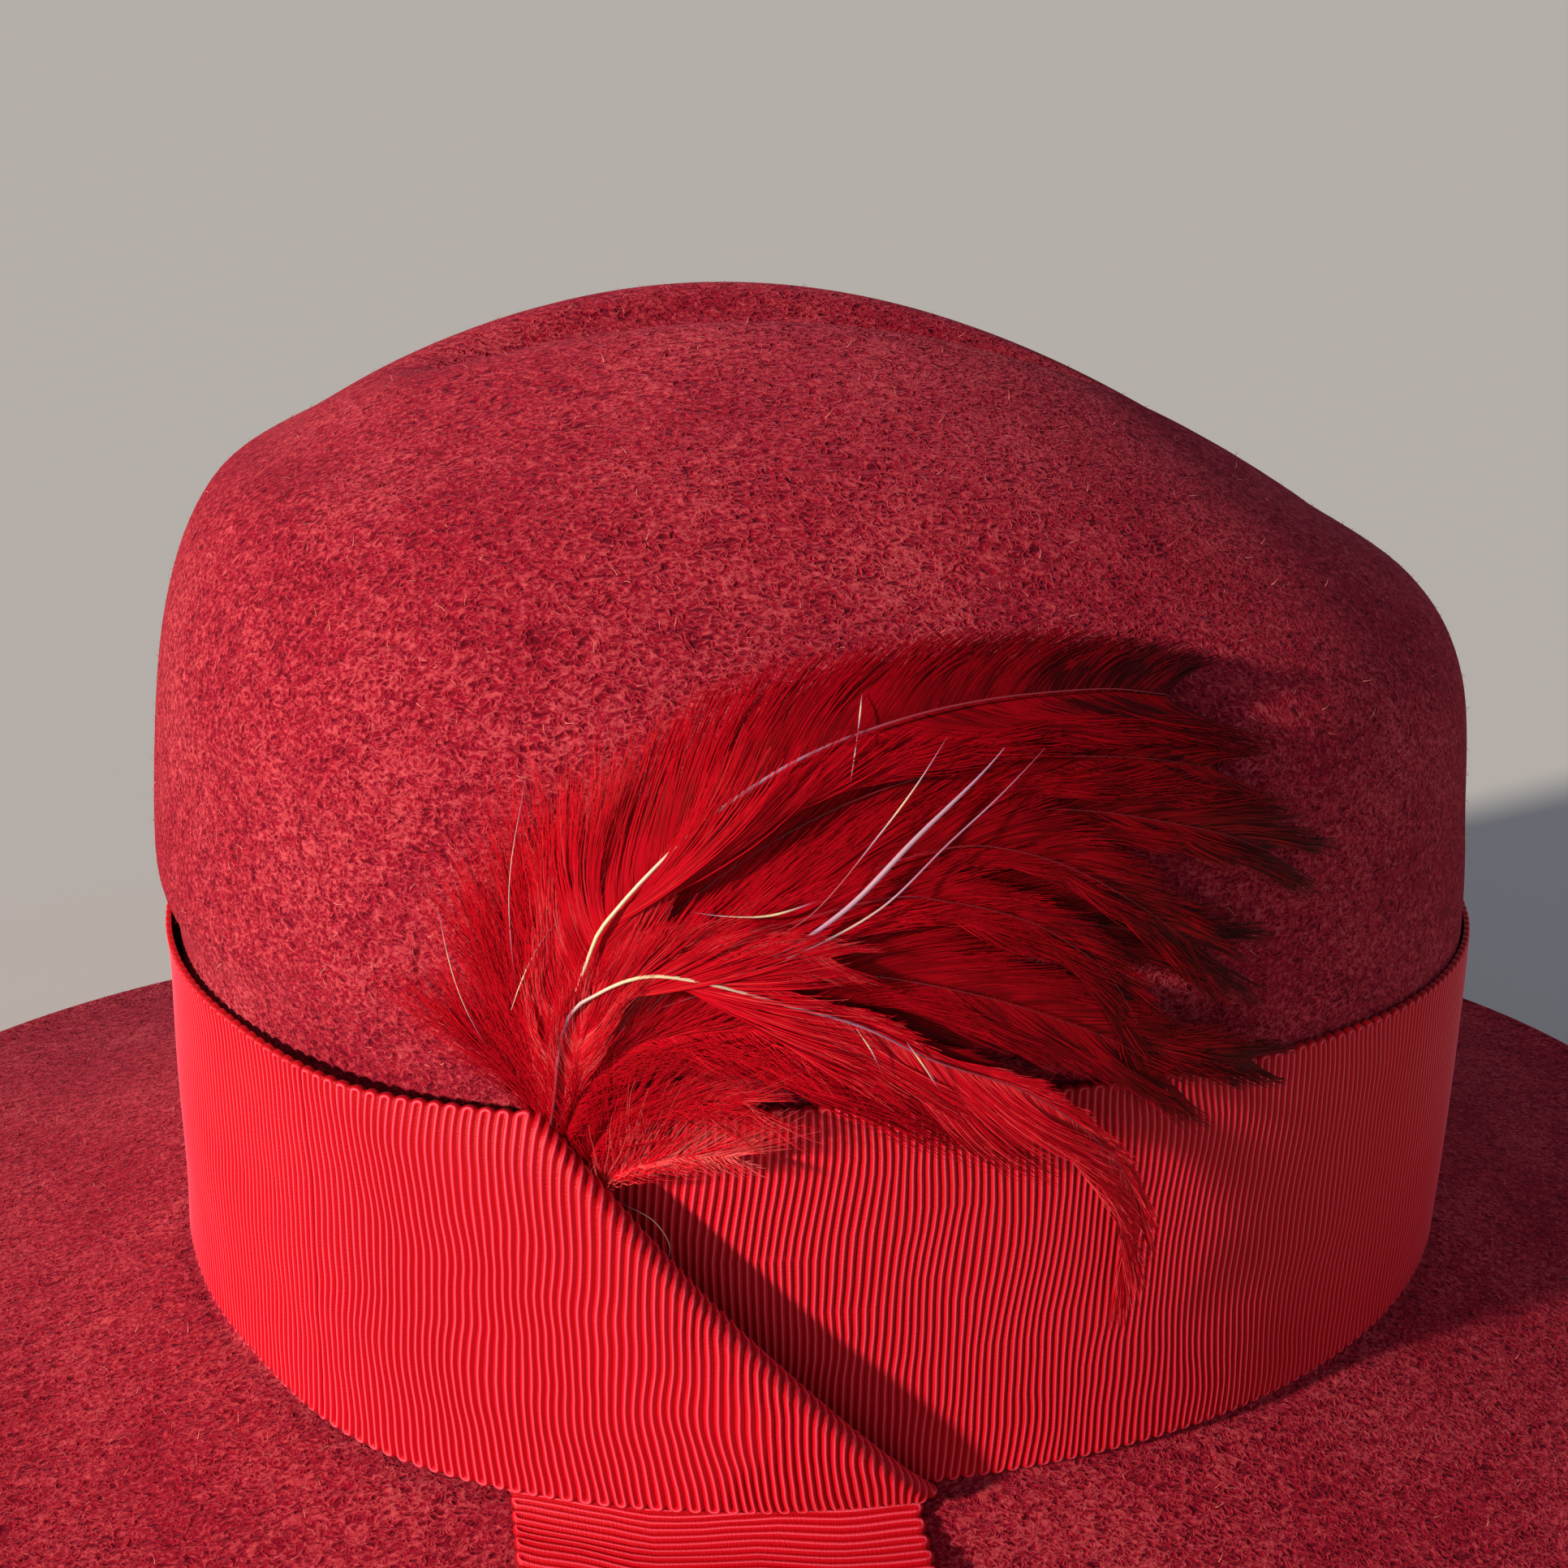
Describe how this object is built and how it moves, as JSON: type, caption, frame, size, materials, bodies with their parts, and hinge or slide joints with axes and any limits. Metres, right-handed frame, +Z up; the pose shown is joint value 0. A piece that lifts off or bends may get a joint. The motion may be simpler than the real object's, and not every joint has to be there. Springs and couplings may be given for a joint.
{
  "type": "wool felt hat",
  "caption": "Crimson wool felt hat with a wide drooping brim, a lengthwise dent in its crown, a broad ribbed ribbon folded on the slant and a spray of red feathers.",
  "frame": {"origin": "on the surface the hat rests on, under the middle of its box", "axes": "+Z up, -X towards the front of the hat, -Y towards the trimmed side"},
  "size_m": [0.3445, 0.2822, 0.163],
  "materials": {
    "felt": "matt wool felt with a short nap",
    "ribbon": "ribbed grosgrain with a soft sheen",
    "feather": "dyed feather barbs with pale quills"
  },
  "bodies": {
    "root": {"felt_body": "felt", "ribbon_band": "ribbon", "ribbon_tail": "ribbon", "feather_spray": "feather"}
  },
  "joints": []
}
